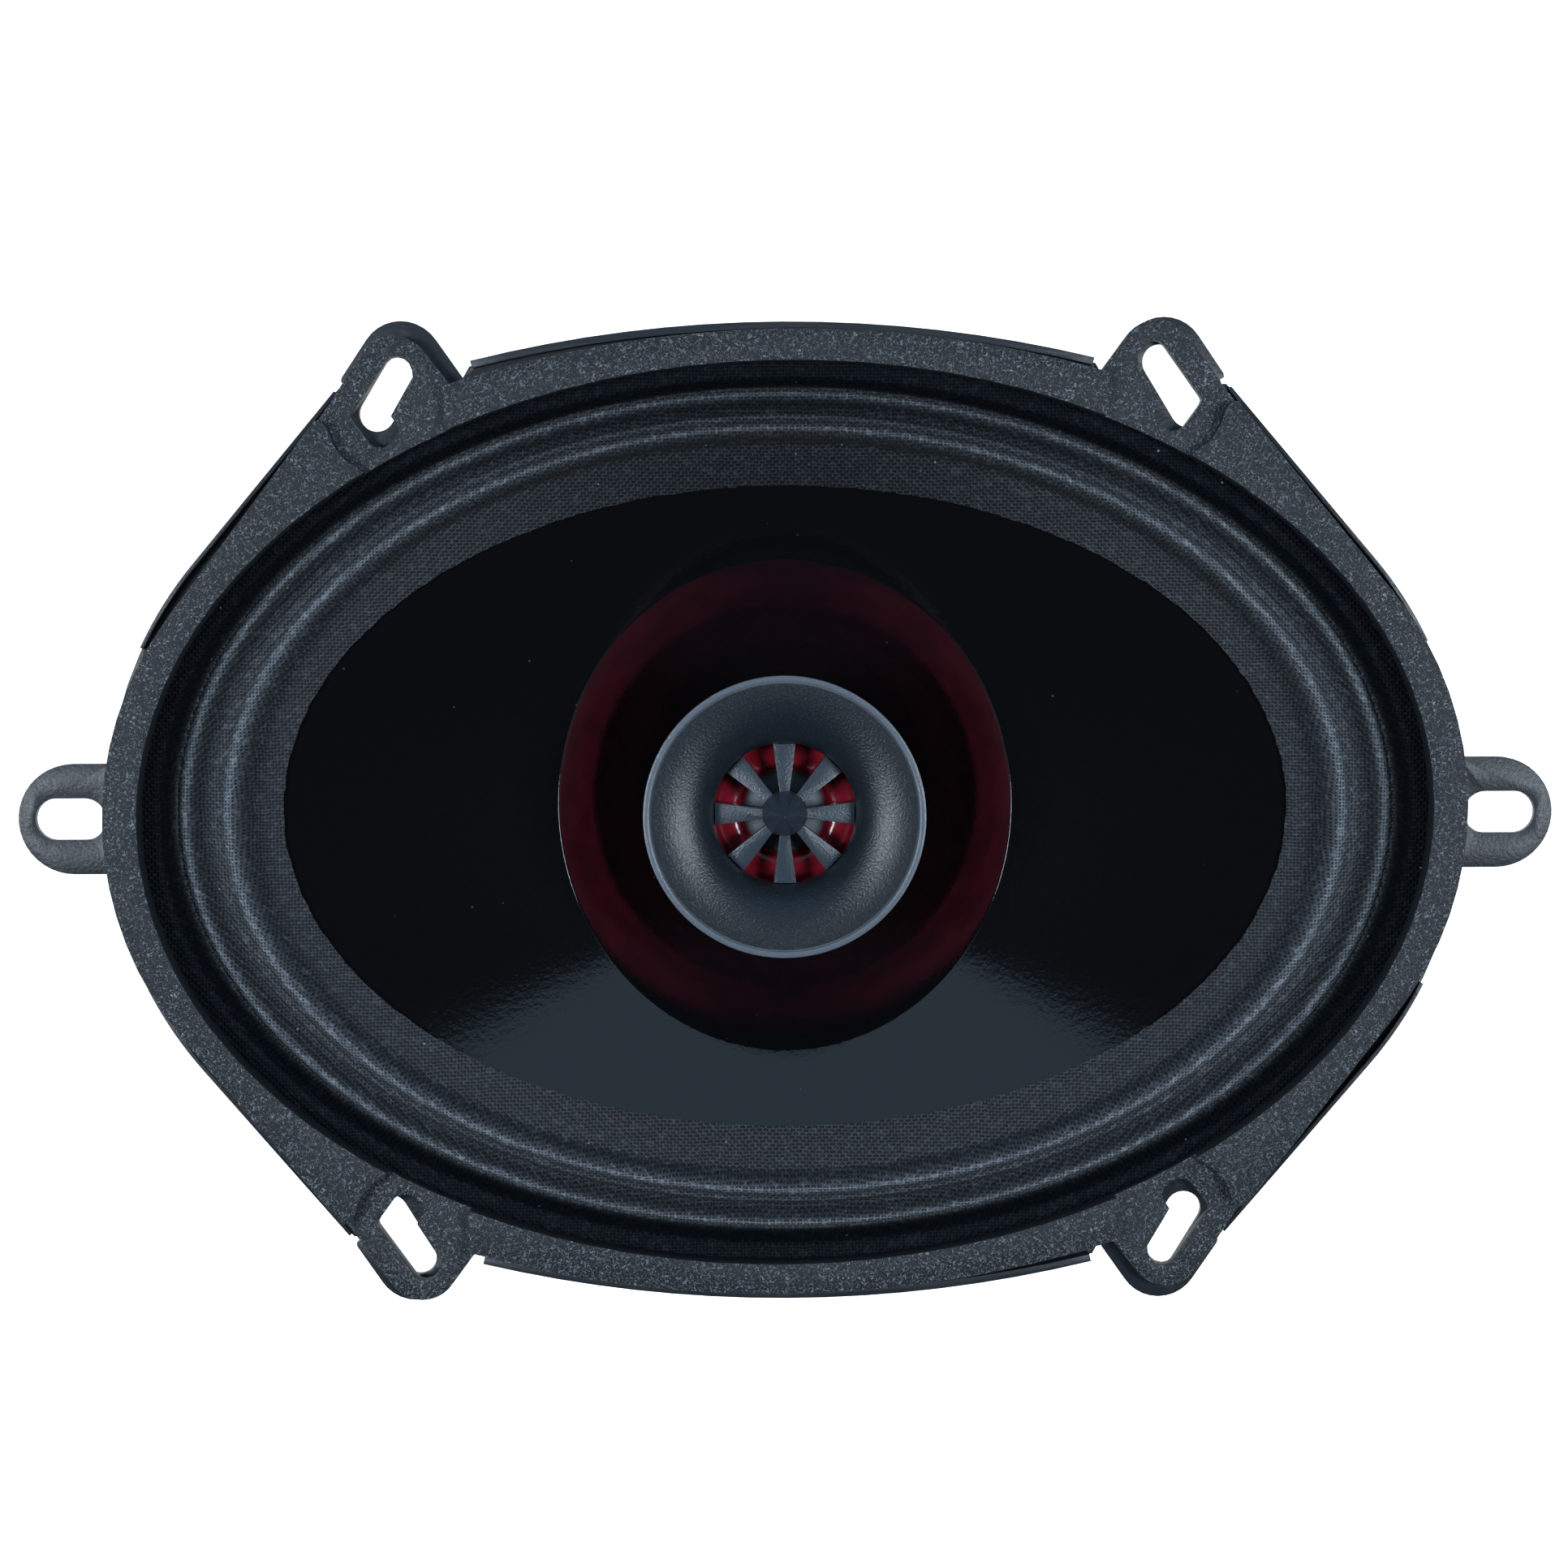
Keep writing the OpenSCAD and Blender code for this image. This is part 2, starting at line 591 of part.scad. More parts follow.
// Spoked plug with a pointed hub in the horn throat
module phase_plug() color(horn_grey) {
    wide = 3.5;
    narrow = 1.3;
    seat_z = throat_z - 1.6;
    translate([0, 0, plug_rear_z]) difference() {
        cylinder(h = seat_z - plug_rear_z, r = skirt_r - 1.7);
        translate([0, 0, -1]) cylinder(h = 10, r = throat_r);
    }
    for (i = [0:spokes - 1]) rotate(360 * i / spokes) {
        translate([0, 0, plug_rear_z]) linear_extrude(seat_z - plug_rear_z)
            polygon([[hub_r - 1, -narrow / 2], [throat_r + 0.5, -wide / 2],
                     [throat_r + 0.5, wide / 2], [hub_r - 1, narrow / 2]]);
        translate([0, 0, plug_rear_z]) linear_extrude(throat_z - plug_rear_z - 0.3)
            polygon([[hub_r - 1, -narrow / 2], [throat_r - 0.2, -wide / 2],
                     [throat_r - 0.2, wide / 2], [hub_r - 1, narrow / 2]]);
    }
    translate([0, 0, plug_rear_z]) cylinder(h = throat_z - plug_rear_z - 0.3, r = hub_r);
    translate([0, 0, throat_z - 0.3]) cylinder(h = horn_depth, r1 = hub_r, r2 = 0.1);
}

module terminal_board() color(fibre_brown)
    translate([-board.x / 2, board_y - board.y / 2, board_z]) difference() {
        cube(board);
        for (s = [-1, 1]) translate([board.x / 2 + s * tab_x, board.y / 2, -1])
            cylinder(h = 5, r = tab_rivet_r);
    }

module terminal_tab(w) {
    translate([0, 0, board_z + board.z]) linear_extrude(0.8) difference() {
        translate([-w / 2, board_y - 15]) square([w, 18]);
        translate([0, board_y]) circle(r = tab_rivet_r);
        translate([0, board_y - 12]) circle(r = 0.8);
    }
}

module terminal_tab_positive() color(zinc)
    translate([tab_x, 0, 0]) terminal_tab(tab_w_positive);

module terminal_tab_negative() color(zinc)
    translate([-tab_x, 0, 0]) terminal_tab(tab_w_negative);

module terminal_rivets() color(copper)
    for (s = [-1, 1]) translate([s * tab_x, board_y, 0]) {
        translate([0, 0, board_z - flange_t]) 
            cylinder(h = flange_t + board.z + 0.8, r = tab_rivet_r);
        translate([0, 0, board_z + board.z + 0.8]) cylinder(h = 0.6, r = 2.4);
        translate([0, 0, board_z - flange_t - 0.6]) cylinder(h = 0.6, r = 2.4);
    }

module crossover_capacitor() color(gloss_black)
    translate([-capacitor_l / 2, board_y + 5.1, board_z + board.z + capacitor_r + 0.1]) {
        rotate([0, 90, 0]) cylinder(h = capacitor_l, r = capacitor_r);
        for (s = [3, capacitor_l - 3]) translate([s, 0, -capacitor_r - 0.1])
            cylinder(h = capacitor_r, r = 0.4);
    }

// Braided lead from the cone to its terminal tab, hanging free of the basket
module tinsel_lead(side) {
    route = [[side * tab_x, -31, -23.9], [side * tab_x, -35, -27.6], [side * tab_x, -40, -30.2],
             [side * tab_x, -46, -30.4], [side * tab_x, -52, -28], [side * tab_x, -58, -28.6],
             [side * tab_x, -60.6, -32.4], [side * tab_x, -61, -36],
             [side * tab_x, -60, -39.2], [side * tab_x, -58.6, -40.6],
             [side * tab_x, -57, board_z + board.z + 1.45]];
    wire(smooth(route), 0.6);
}

module tinsel_lead_positive() color(copper) tinsel_lead(1);

module tinsel_lead_negative() color(copper) tinsel_lead(-1);

// Insulated lead from the tweeter, down the hollow post and round the motor to its tab
module tweeter_lead(side) {
    rear = back_plate_z + 1.4;
    route = [[side * 1.05, 0, cup_floor_z - 2.6], [side * 1.05, 0, -40],
             [side * 1.05, 0, rear + 3], [side * 1.05, -0.8, rear + 0.9],
             [side * 1.05, -3, rear], [side * 1.05, -20, rear], [side * 1.05, -39, rear],
             [side * 1.2, -44, rear + 0.6], [side * 1.6, -47.4, rear + 4],
             [side * 2.4, -48.6, -60], [side * 5, -52, -52], [side * tab_x, -60, -49],
             [side * tab_x, -64.5, -46.6], [side * tab_x, -64.8, board_z + board.z - 0.9]];
    wire(smooth(route), 0.75);
}

module tweeter_lead_positive() color(glossy_red) tweeter_lead(1);

module tweeter_lead_negative() color(gloss_black) tweeter_lead(-1);

basket();
trim_ring();
surround();
cone();
voice_coil_former();
voice_coil_winding();
spider();
top_plate();
magnet();
back_yoke();
basket_rivets();
tweeter_post();
post_washer();
post_nut();
tweeter_housing();
tweeter_yoke();
tweeter_magnet();
tweeter_top_plate();
tweeter_diaphragm();
tweeter_dome();
tweeter_voice_coil();
horn();
phase_plug();
terminal_board();
terminal_tab_positive();
terminal_tab_negative();
terminal_rivets();
crossover_capacitor();
tinsel_lead_positive();
tinsel_lead_negative();
tweeter_lead_positive();
tweeter_lead_negative();
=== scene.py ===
import json
import math
import bmesh
import bpy
from mathutils import Matrix, Vector, noise


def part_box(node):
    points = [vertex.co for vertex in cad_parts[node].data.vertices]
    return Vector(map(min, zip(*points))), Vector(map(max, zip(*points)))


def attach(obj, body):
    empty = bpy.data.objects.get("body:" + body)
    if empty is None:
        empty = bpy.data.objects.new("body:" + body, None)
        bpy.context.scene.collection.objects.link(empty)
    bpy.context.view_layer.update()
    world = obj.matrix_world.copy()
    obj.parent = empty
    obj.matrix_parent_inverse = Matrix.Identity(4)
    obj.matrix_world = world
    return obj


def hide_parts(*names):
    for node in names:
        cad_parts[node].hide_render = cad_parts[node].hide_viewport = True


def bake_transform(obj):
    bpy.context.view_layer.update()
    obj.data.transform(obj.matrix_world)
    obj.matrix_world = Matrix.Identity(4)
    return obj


# Oval coaxial car speaker. Metres, Z is the firing direction, X the long axis between the end ears.
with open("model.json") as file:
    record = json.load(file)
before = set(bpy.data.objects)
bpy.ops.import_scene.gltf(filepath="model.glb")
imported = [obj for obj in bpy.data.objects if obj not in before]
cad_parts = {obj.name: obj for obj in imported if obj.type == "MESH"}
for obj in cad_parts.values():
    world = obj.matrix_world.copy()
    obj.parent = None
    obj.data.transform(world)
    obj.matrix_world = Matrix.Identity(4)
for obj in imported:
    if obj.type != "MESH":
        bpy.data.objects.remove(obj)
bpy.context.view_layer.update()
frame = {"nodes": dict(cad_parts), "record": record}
nodes = frame["nodes"]
mm = 0.001

# ---------------------------------------------------------------- sizes kept from the frame
cone_lo, cone_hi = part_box("cone")
horn_lo, horn_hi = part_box("horn")
dome_lo, dome_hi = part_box("tweeter_dome")
surround_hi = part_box("surround")[1]
former_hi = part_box("voice_coil_former")[1]
film_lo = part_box("tweeter_diaphragm")[0]

cone_half = Vector((cone_hi.x, cone_hi.y))
cone_edge_z = cone_hi.z
cone_t = 0.8 * mm
neck_r = former_hi.x
neck_z = cone_lo.z + cone_t
rim_half = Vector((surround_hi.x, surround_hi.y))
floor_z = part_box("back_yoke")[0].z


# ---------------------------------------------------------------- modelling helpers
def clear_selection():
    if bpy.context.mode != "OBJECT":
        bpy.ops.object.mode_set(mode="OBJECT")
    bpy.ops.object.select_all(action="DESELECT")


def make_active(piece):
    clear_selection()
    piece.select_set(True)
    bpy.context.view_layer.objects.active = piece


def new_piece(name, add, **settings):
    """Adds a primitive at its size and place and gives it its name."""
    clear_selection()
    add(**settings)
    piece = bpy.context.active_object
    piece.name = name
    piece.data.name = name
    return piece


def settle(piece):
    """Moves the object's place, turn and scale into its mesh."""
    make_active(piece)
    bpy.ops.object.transform_apply(location=True, rotation=True, scale=True)


def apply_modifier(piece, kind, **settings):
    make_active(piece)
    modifier = piece.modifiers.new(kind.title(), kind)
    for key, value in settings.items():
        setattr(modifier, key, value)
    bpy.ops.object.modifier_apply(modifier=modifier.name)


def tidy_mesh(piece, merge=1e-6, outward=True):
    make_active(piece)
    bpy.ops.object.mode_set(mode="EDIT")
    bpy.ops.mesh.select_all(action="SELECT")
    bpy.ops.mesh.remove_doubles(threshold=merge)
    if outward:
        bpy.ops.mesh.normals_make_consistent(inside=False)
    bpy.ops.object.mode_set(mode="OBJECT")


def smooth(piece, angle=32):
    make_active(piece)
    bpy.ops.object.shade_smooth_by_angle(angle=math.radians(angle))


def spin_profile(name, outline, steps=128, closed=True):
    """Turns an outline of (radius, height) points once round the Z axis, as on a lathe."""
    piece = new_piece(name, bpy.ops.mesh.primitive_plane_add, size=1)
    bpy.ops.object.mode_set(mode="EDIT")
    bpy.ops.mesh.select_all(action="SELECT")
    bpy.ops.mesh.merge(type="CENTER")
    start = outline[0]
    bpy.ops.transform.translate(value=(start[0], 0, start[1]))
    before = start
    for point in list(outline[1:]) + ([start] if closed else []):
        bpy.ops.mesh.extrude_vertices_move(
            TRANSFORM_OT_translate={"value": (point[0] - before[0], 0, point[1] - before[1])})
        before = point
    bpy.ops.mesh.select_all(action="SELECT")
    bpy.ops.mesh.spin(steps=steps, angle=2 * math.pi, center=(0, 0, 0), axis=(0, 0, 1))
    bpy.ops.object.mode_set(mode="OBJECT")
    tidy_mesh(piece)
    return piece


def oval_rings(name, rings, count=288):
    """Extrudes an oval edge loop from ring to ring; a ring is its half sizes and a height rule."""
    half, height = rings[0]
    piece = new_piece(name, bpy.ops.mesh.primitive_circle_add, vertices=count, radius=1)
    bpy.ops.object.mode_set(mode="EDIT")
    bpy.ops.mesh.select_all(action="SELECT")
    bpy.ops.transform.resize(value=(half[0], half[1], 1))
    sheet = bmesh.from_edit_mesh(piece.data)
    lift(sheet, height)
    for wider, rule in rings[1:]:
        bpy.ops.mesh.extrude_edges_move()
        bpy.ops.transform.resize(value=(wider[0] / half[0], wider[1] / half[1], 1),
                                 center_override=(0, 0, 0))
        half = wider
        sheet = bmesh.from_edit_mesh(piece.data)
        lift(sheet, rule)
    bmesh.update_edit_mesh(piece.data)
    bpy.ops.object.mode_set(mode="OBJECT")
    return piece


def lift(sheet, rule):
    """Sets the height of the selected loop; rule is a height or a function of x and y."""
    for v in sheet.verts:
        if v.select:
            v.co.z = rule(v.co.x, v.co.y) if callable(rule) else rule


def dress(node, bevel, segments=2, angle=30, name=None, smooth_angle=32):
    """A finished copy of a CAD node with its edges broken, as tumbling or moulding leaves them."""
    source = nodes[node]
    piece = bpy.data.objects.new(name or node + "_finished", source.data.copy())
    bpy.context.scene.collection.objects.link(piece)
    piece.data.materials.clear()
    tidy_mesh(piece, merge=2e-6, outward=False)
    make_active(piece)
    bpy.ops.object.mode_set(mode="EDIT")
    bpy.ops.mesh.select_all(action="SELECT")
    bpy.ops.mesh.dissolve_limited(angle_limit=math.radians(0.6))
    bpy.ops.object.mode_set(mode="OBJECT")
    if bevel:
        apply_modifier(piece, "BEVEL", width=bevel, segments=segments, limit_method="ANGLE",
                       angle_limit=math.radians(angle), use_clamp_overlap=True,
                       harden_normals=False, miter_outer="MITER_ARC")
    smooth(piece, smooth_angle)
    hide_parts(node)
    return piece


def finish_piece(piece, body, material):
    piece.data.materials.clear()
    piece.data.materials.append(material)
    if body:
        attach(piece, body)
    return piece


# ---------------------------------------------------------------- shader building
def group(name, inputs, outputs):
    """An empty shader node group with named sockets: (name, kind, default)."""
    made = bpy.data.node_groups.new(name, "ShaderNodeTree")
    for label, kind, default in inputs:
        socket = made.interface.new_socket(name=label, in_out="INPUT", socket_type=kind)
        if default is not None:
            socket.default_value = default
    for label, kind in outputs:
        made.interface.new_socket(name=label, in_out="OUTPUT", socket_type=kind)
    entry = made.nodes.new("NodeGroupInput")
    exit_node = made.nodes.new("NodeGroupOutput")
    return made, entry.outputs, exit_node.inputs


def wire_up(tree, kind, links=(), **values):
    """Adds a node, sets its plain values and links its sockets by name or number."""
    node = tree.nodes.new(kind)
    for key, value in values.items():
        setattr(node, key, value)
    for socket, source in dict(links).items():
        target = node.inputs[socket]
        if isinstance(source, (int, float, tuple)):
            target.default_value = source
        else:
            tree.links.new(source, target)
    return node


def math_node(tree, operation, *values, clamp=False):
    return wire_up(tree, "ShaderNodeMath", {i: v for i, v in enumerate(values)},
                   operation=operation, use_clamp=clamp).outputs[0]


def ramp(tree, fac, low, high):
    node = wire_up(tree, "ShaderNodeMapRange", {0: fac, 1: low, 2: high},
                   interpolation_type="SMOOTHSTEP")
    return node.outputs[0]


def worm_grain_group():
    """Moulded worm grain: short winding ridges with smaller pebbles between them."""
    tree, start, end = group("Worm grain", [("Vector", "NodeSocketVector", None),
                                            ("Scale", "NodeSocketFloat", 900.0)],
                             [("Height", "NodeSocketFloat"), ("Ridge", "NodeSocketFloat")])
    broad = wire_up(tree, "ShaderNodeTexNoise", {"Vector": start["Vector"], "Scale": start["Scale"],
                                                 "Detail": 1.0, "Distortion": 0.6})
    off = math_node(tree, "SUBTRACT", broad.outputs["Fac"], 0.5)
    ridge = ramp(tree, math_node(tree, "ABSOLUTE", off), 0.01, 0.06)
    fine_scale = math_node(tree, "MULTIPLY", start["Scale"], 3.1)
    fine = wire_up(tree, "ShaderNodeTexNoise", {"Vector": start["Vector"], "Scale": fine_scale,
                                                "Detail": 2.0})
    height = math_node(tree, "ADD", ridge, math_node(tree, "MULTIPLY", fine.outputs["Fac"], 0.35))
    tree.links.new(height, end["Height"])
    tree.links.new(ridge, end["Ridge"])
    return tree


def weave_group():
    """Plain weave of square set threads with slubs, from a flat pair of coordinates."""
    tree, start, end = group("Plain weave", [("Vector", "NodeSocketVector", None),
                                             ("Threads per metre", "NodeSocketFloat", 2400.0)],
                             [("Height", "NodeSocketFloat"), ("Gap", "NodeSocketFloat"),
                              ("Slub", "NodeSocketFloat")])
    wander = wire_up(tree, "ShaderNodeTexNoise", {"Vector": start["Vector"], "Scale": 260.0,
                                                  "Detail": 2.0})
    shift = wire_up(tree, "ShaderNodeVectorMath", {0: wander.outputs["Color"],
                                                   1: (0.0007, 0.0007, 0.0)}, operation="MULTIPLY")
    place = wire_up(tree, "ShaderNodeVectorMath", {0: start["Vector"], 1: shift.outputs[0]})
    split = wire_up(tree, "ShaderNodeSeparateXYZ", {0: place.outputs[0]})
    turn = math_node(tree, "MULTIPLY", start["Threads per metre"], math.pi)
    warp = math_node(tree, "SINE", math_node(tree, "MULTIPLY", split.outputs["X"], turn))
    weft = math_node(tree, "SINE", math_node(tree, "MULTIPLY", split.outputs["Y"], turn))
    over = math_node(tree, "MULTIPLY", warp, weft)
    thread = math_node(tree, "MAXIMUM", math_node(tree, "ABSOLUTE", warp),
                       math_node(tree, "ABSOLUTE", weft))
    height = math_node(tree, "ADD", math_node(tree, "MULTIPLY", over, 0.5), thread)
    slub = wire_up(tree, "ShaderNodeTexNoise", {"Vector": start["Vector"], "Scale": 900.0,
                                                "Detail": 3.0, "Roughness": 0.7})
    tree.links.new(height, end["Height"])
    tree.links.new(ramp(tree, thread, 0.95, 0.35), end["Gap"])
    tree.links.new(slub.outputs["Fac"], end["Slub"])
    return tree


def peel_group():
    """Fine orange peel with paler flecks, as powder paint leaves."""
    tree, start, end = group("Peel", [("Vector", "NodeSocketVector", None),
                                      ("Scale", "NodeSocketFloat", 1500.0)],
                             [("Height", "NodeSocketFloat"), ("Fleck", "NodeSocketFloat")])
    waves = wire_up(tree, "ShaderNodeTexNoise", {"Vector": start["Vector"],
                                                 "Scale": start["Scale"], "Detail": 3.0,
                                                 "Roughness": 0.6})
    cells = wire_up(tree, "ShaderNodeTexVoronoi",
                    {"Vector": start["Vector"],
                     "Scale": math_node(tree, "MULTIPLY", start["Scale"], 1.7)})
    fleck = ramp(tree, cells.outputs["Distance"], 0.22, 0.05)
    tree.links.new(waves.outputs["Fac"], end["Height"])
    tree.links.new(fleck, end["Fleck"])
    return tree


def dust_group():
    """Scattered specks of lint and dust, thickest where the second noise is high."""
    tree, start, end = group("Dust", [("Vector", "NodeSocketVector", None),
                                      ("Amount", "NodeSocketFloat", 0.5)],
                             [("Mask", "NodeSocketFloat")])
    cells = wire_up(tree, "ShaderNodeTexVoronoi", {"Vector": start["Vector"], "Scale": 420.0,
                                                   "Randomness": 1.0})
    speck = ramp(tree, cells.outputs["Distance"], 0.1, 0.04)
    lot = wire_up(tree, "ShaderNodeSeparateColor", {0: cells.outputs["Color"]})
    rare = math_node(tree, "GREATER_THAN", lot.outputs[0],
                     math_node(tree, "SUBTRACT", 1.0, math_node(tree, "MULTIPLY",
                                                                start["Amount"], 0.2)))
    tree.links.new(math_node(tree, "MULTIPLY", speck, rare), end["Mask"])
    return tree


GRAIN = worm_grain_group()
WEAVE = weave_group()
PEEL = peel_group()
DUST = dust_group()


def new_material(name, base, roughness, metallic=0.0, **shader_values):
    """A material with its Principled shader, its tree and Object coordinates."""
    made = bpy.data.materials.new(name)
    made.use_nodes = True
    tree = made.node_tree
    shader = tree.nodes["Principled BSDF"]
    shader.inputs["Base Color"].default_value = (*base, 1)
    shader.inputs["Roughness"].default_value = roughness
    shader.inputs["Metallic"].default_value = metallic
    for key, value in shader_values.items():
        shader.inputs[key.replace("_", " ")].default_value = value
    place = tree.nodes.new("ShaderNodeTexCoord").outputs["Object"]
    return made, tree, shader, place


def use_group(tree, made, **links):
    node = tree.nodes.new("ShaderNodeGroup")
    node.node_tree = made
    for key, value in links.items():
        target = node.inputs[key.replace("_", " ")]
        if isinstance(value, (int, float)):
            target.default_value = value
        else:
            tree.links.new(value, target)
    return node.outputs


def mix_colour(tree, fac, a, b):
    node = tree.nodes.new("ShaderNodeMix")
    node.data_type = "RGBA"
    for socket, value in ((node.inputs[0], fac), (node.inputs[6], a), (node.inputs[7], b)):
        if isinstance(value, (int, float)):
            socket.default_value = value
        elif isinstance(value, tuple):
            socket.default_value = (*value, 1)
        else:
            tree.links.new(value, socket)
    return node.outputs[2]


def mix_value(tree, fac, a, b):
    node = tree.nodes.new("ShaderNodeMix")
    node.data_type = "FLOAT"
    for socket, value in ((node.inputs[0], fac), (node.inputs[2], a), (node.inputs[3], b)):
        if isinstance(value, (int, float)):
            socket.default_value = value
        else:
            tree.links.new(value, socket)
    return node.outputs[0]


def bump(tree, shader, height, depth, strength=1.0):
    node = wire_up(tree, "ShaderNodeBump", {"Height": height, "Strength": strength,
                                            "Distance": depth})
    tree.links.new(node.outputs[0], shader.inputs["Normal"])


def grained_moulding():
    made, tree, shader, place = new_material("Grained black moulding", (0.03, 0.038, 0.05), 0.5,
                                             Specular_IOR_Level=0.5)
    grain = use_group(tree, GRAIN, Vector=place, Scale=1900.0)
    facing = wire_up(tree, "ShaderNodeNewGeometry").outputs["Normal"]
    up = wire_up(tree, "ShaderNodeSeparateXYZ", {0: facing}).outputs["Z"]
    flat = ramp(tree, up, 0.55, 0.9)
    dust = use_group(tree, DUST, Vector=place, Amount=0.5)
    # The pale grey along the grain's ridge lines is painted highlight; steep faces get a plain
    # darker tone without the grain
    tone = mix_colour(tree, grain["Ridge"], (0.19, 0.22, 0.255), (0.005, 0.008, 0.011))
    tone = mix_colour(tree, flat, (0.012, 0.017, 0.022), tone)
    tree.links.new(mix_colour(tree, dust["Mask"], tone, (0.16, 0.17, 0.18)),
                   shader.inputs["Base Color"])
    tree.links.new(mix_value(tree, grain["Ridge"], 0.4, 0.62), shader.inputs["Roughness"])
    height = math_node(tree, "SUBTRACT", 1.35, grain["Height"])
    bump(tree, shader, math_node(tree, "MULTIPLY", height, flat), 0.00022)
    return made


def coated_cloth():
    made, tree, shader, place = new_material("Coated black cloth", (0.02, 0.025, 0.033), 0.42)
    weave = use_group(tree, WEAVE, Vector=place, Threads_per_metre=1900.0)
    dust = use_group(tree, DUST, Vector=place, Amount=0.8)
    # The per-point attribute is painted highlight on the crests of the surround's rolls and painted
    # shade in its valleys; it sets how light the threads are
    painted_roll_light = wire_up(tree, "ShaderNodeAttribute", attribute_name="painted_roll_light").outputs["Fac"]
    thread = mix_colour(tree, painted_roll_light, (0.003, 0.005, 0.008), (0.125, 0.145, 0.17))
    # the gaps between threads are painted near black, as painted shade
    tone = mix_colour(tree, weave["Gap"], thread, (0.002, 0.003, 0.005))
    # The pale slubs are partly random thread tone and partly painted highlight, strongest on the
    # crests
    slub_tone_and_roll_light = math_node(tree, "MULTIPLY", ramp(tree, weave["Slub"], 0.5, 0.68),
                     math_node(tree, "ADD", 0.03, painted_roll_light))
    tone = mix_colour(tree, slub_tone_and_roll_light, tone, (0.2, 0.225, 0.26))
    tree.links.new(mix_colour(tree, dust["Mask"], tone, (0.2, 0.2, 0.21)),
                   shader.inputs["Base Color"])
    sheen = mix_value(tree, painted_roll_light, 0.62, 0.36)
    tree.links.new(mix_value(tree, ramp(tree, painted_roll_light, 0.0, 0.12), 0.08, 0.5),
                   shader.inputs["Specular IOR Level"])
    tree.links.new(mix_value(tree, weave["Gap"], sheen, 0.85), shader.inputs["Roughness"])
    bump(tree, shader, weave["Height"], 0.00018)
    return made


def gloss_cone():
    made, tree, shader, place = new_material("Gloss black cone film", (0.0028, 0.0031, 0.0038),
                                             0.07, Specular_IOR_Level=0.95)
    peel = use_group(tree, PEEL, Vector=place, Scale=1100.0)
    dust = use_group(tree, DUST, Vector=place, Amount=0.35)
    tree.links.new(mix_colour(tree, dust["Mask"], (0.0028, 0.0031, 0.0038), (0.05, 0.05, 0.055)),
                   shader.inputs["Base Color"])
    tree.links.new(mix_value(tree, peel["Height"], 0.05, 0.11), shader.inputs["Roughness"])
    bump(tree, shader, peel["Height"], 0.00002)
    return made


def black_paint():
    made, tree, shader, place = new_material("Satin black paint", (0.012, 0.016, 0.022), 0.42)
    peel = use_group(tree, PEEL, Vector=place, Scale=1700.0)
    tree.links.new(mix_colour(tree, peel["Fleck"], (0.011, 0.015, 0.021), (0.04, 0.048, 0.06)),
                   shader.inputs["Base Color"])
    tree.links.new(mix_value(tree, peel["Height"], 0.34, 0.52), shader.inputs["Roughness"])
    bump(tree, shader, peel["Height"], 0.00007)
    return made


def satin_horn(name, base, painted_lip_highlight):
    made, tree, shader, place = new_material(name, base, 0.32, Specular_IOR_Level=0.5)
    peel = use_group(tree, PEEL, Vector=place, Scale=2600.0)
    tone = mix_colour(tree, peel["Fleck"], base, (0.1, 0.12, 0.15))
    flat = wire_up(tree, "ShaderNodeVectorMath", {0: place, 1: (1.0, 1.0, 0.0)},
                   operation="MULTIPLY")
    radius = wire_up(tree, "ShaderNodeVectorMath", {0: flat.outputs[0]}, operation="LENGTH")
    # Past a radius of about 20.4 mm the colour turns to the last argument's colour, a painted
    # highlight along the horn's lip
    tree.links.new(mix_colour(tree, ramp(tree, radius.outputs["Value"], 0.0203, 0.0206), tone,
                              painted_lip_highlight), shader.inputs["Base Color"])
    tree.links.new(mix_value(tree, peel["Height"], 0.24, 0.4), shader.inputs["Roughness"])
    bump(tree, shader, peel["Height"], 0.00008)
    return made


def glossy_red(name="Gloss red moulding", base=(0.17, 0.006, 0.016), roughness=0.16):
    made, tree, shader, place = new_material(name, base, roughness)
    broad = wire_up(tree, "ShaderNodeTexNoise", {"Vector": place, "Scale": 350.0, "Detail": 3.0})
    dark = tuple(c * 0.6 for c in base)
    tree.links.new(mix_colour(tree, ramp(tree, broad.outputs["Fac"], 0.35, 0.65), dark, base),
                   shader.inputs["Base Color"])
    bump(tree, shader, broad.outputs["Fac"], 0.00008)
    return made


def bright_zinc(name="Bright zinc plate", base=(0.62, 0.63, 0.64), rough=0.28):
    made, tree, shader, place = new_material(name, base, rough, metallic=1.0)
    spread = wire_up(tree, "ShaderNodeMapping", {"Vector": place, "Scale": (1.0, 1.0, 12.0)})
    turned = wire_up(tree, "ShaderNodeTexNoise", {"Vector": spread.outputs[0], "Scale": 420.0,
                                                  "Detail": 4.0, "Roughness": 0.7})
    stain = wire_up(tree, "ShaderNodeTexNoise", {"Vector": place, "Scale": 60.0, "Detail": 4.0})
    tree.links.new(mix_colour(tree, ramp(tree, stain.outputs["Fac"], 0.4, 0.7), base,
                              tuple(c * 0.72 for c in base)), shader.inputs["Base Color"])
    tree.links.new(mix_value(tree, turned.outputs["Fac"], rough * 0.7, rough * 1.6),
                   shader.inputs["Roughness"])
    bump(tree, shader, turned.outputs["Fac"], 0.00003)
    return made


def matt_speckle(name, base, pale, roughness, scale=900.0, depth=0.00006, metallic=0.0):
    made, tree, shader, place = new_material(name, base, roughness, metallic=metallic)
    peel = use_group(tree, PEEL, Vector=place, Scale=scale)
    tree.links.new(mix_colour(tree, peel["Height"], base, pale), shader.inputs["Base Color"])
    tree.links.new(mix_value(tree, peel["Height"], roughness * 0.85, roughness * 1.1),
                   shader.inputs["Roughness"])
    bump(tree, shader, peel["Height"], depth)
    return made


